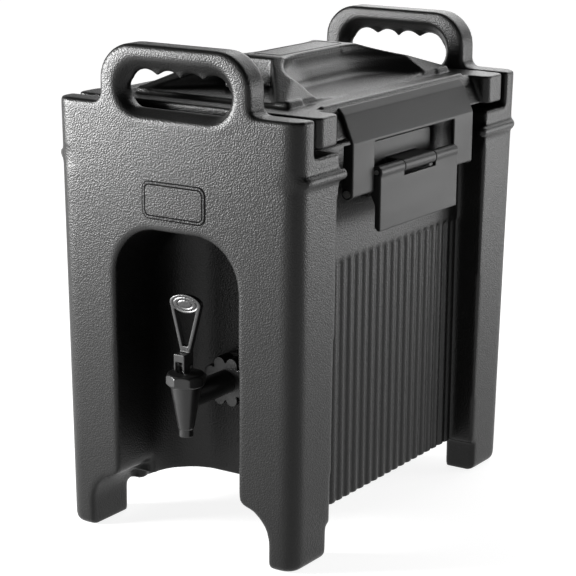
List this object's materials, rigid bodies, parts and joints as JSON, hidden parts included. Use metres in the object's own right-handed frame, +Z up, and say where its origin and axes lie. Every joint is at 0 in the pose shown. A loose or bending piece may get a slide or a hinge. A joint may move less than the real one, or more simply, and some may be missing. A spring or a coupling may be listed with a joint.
{
  "type": "insulated beverage dispenser",
  "caption": "Insulated drink dispenser: double-walled body on feet, handle at each end, latched lid and lever tap in a front alcove.",
  "frame": {"origin": "on the floor, under the middle of the body's box", "axes": "+Z up, front with the tap towards -Y, +X to the right as seen from the front"},
  "size_m": [0.253, 0.3831, 0.43],
  "materials": {
    "shell_plastic": "fine pebbled moulding grain",
    "liner_plastic": "smooth moulded",
    "insulating_foam": "rigid closed-cell foam",
    "seal_rubber": "soft satin",
    "fitting_plastic": "smooth satin",
    "latch_plastic": "smooth satin",
    "tap_plastic": "glossy",
    "steel": "brushed"
  },
  "bodies": {
    "body": {"outer_shell": "shell_plastic", "foam_core": "insulating_foam", "inner_tank": "liner_plastic", "right_latch_base": "latch_plastic", "right_hinge_pin": "steel", "right_latch_screws": "steel", "left_latch_base": "latch_plastic", "left_hinge_pin": "steel", "left_latch_screws": "steel", "tap_shank": "tap_plastic", "tap_inner_seal": "seal_rubber", "tap_washer": "seal_rubber", "tap_nut": "tap_plastic", "tap_body": "tap_plastic", "tap_bonnet": "tap_plastic", "tap_spring": "steel"},
    "lid": {"lid_shell": "shell_plastic", "lid_foam": "insulating_foam", "lid_liner": "liner_plastic", "lid_gasket": "seal_rubber", "vent_bush": "fitting_plastic"},
    "vent_plug": {"vent_cap": "fitting_plastic", "vent_seal": "seal_rubber"},
    "right_latch_lever": {"right_lever": "latch_plastic"},
    "right_latch_bail": {"right_bail": "latch_plastic", "right_bail_pins": "steel"},
    "left_latch_lever": {"left_lever": "latch_plastic"},
    "left_latch_bail": {"left_bail": "latch_plastic", "left_bail_pins": "steel"},
    "tap_plunger": {"tap_stem": "steel", "tap_seat_cup": "seal_rubber"},
    "tap_lever": {"tap_handle": "tap_plastic", "tap_handle_pin": "steel"}
  },
  "joints": [
    {"name": "lid_lift", "type": "slide", "parent": "body", "child": "lid", "axis": [0, 0, 1], "range_m": [0, 0.1]},
    {"name": "right_lever_turn", "type": "hinge", "parent": "body", "child": "right_latch_lever", "pos_m": [0.121, 0, 0.322], "axis": [0, -1, 0], "range_deg": [0, 90]},
    {"name": "right_bail_swing", "type": "hinge", "parent": "right_latch_lever", "child": "right_latch_bail", "pos_m": [0.115, 0, 0.309], "axis": [0, -1, 0], "range_deg": [-153, 0]},
    {"name": "left_lever_turn", "type": "hinge", "parent": "body", "child": "left_latch_lever", "pos_m": [-0.121, 0, 0.322], "axis": [0, 1, 0], "range_deg": [0, 90]},
    {"name": "left_bail_swing", "type": "hinge", "parent": "left_latch_lever", "child": "left_latch_bail", "pos_m": [-0.115, 0, 0.309], "axis": [0, 1, 0], "range_deg": [-153, 0]},
    {"name": "vent_cap_lift", "type": "slide", "parent": "lid", "child": "vent_plug", "axis": [0, 0, 1], "range_m": [0, 0.03]},
    {"name": "tap_stem_lift", "type": "slide", "parent": "body", "child": "tap_plunger", "axis": [0, 0, 1], "range_m": [0, 0.005], "stiffness_N_per_m": 150, "springref_m": -0.01, "deforming": ["tap_spring"]},
    {"name": "tap_handle_tilt", "type": "hinge", "parent": "tap_plunger", "child": "tap_lever", "pos_m": [0, -0.172, 0.1595], "axis": [1, 0, 0], "range_deg": [0, 50]}
  ],
  "couplings": [
    {"joint": "right_lever_turn", "follows": "lid_lift", "rad_per_m": 15.708},
    {"joint": "right_bail_swing", "follows": "lid_lift", "rad_per_m": -26.704},
    {"joint": "left_lever_turn", "follows": "lid_lift", "rad_per_m": 15.708},
    {"joint": "left_bail_swing", "follows": "lid_lift", "rad_per_m": -26.704},
    {"joint": "tap_handle_tilt", "follows": "tap_stem_lift", "rad_per_m": 174.53}
  ]
}
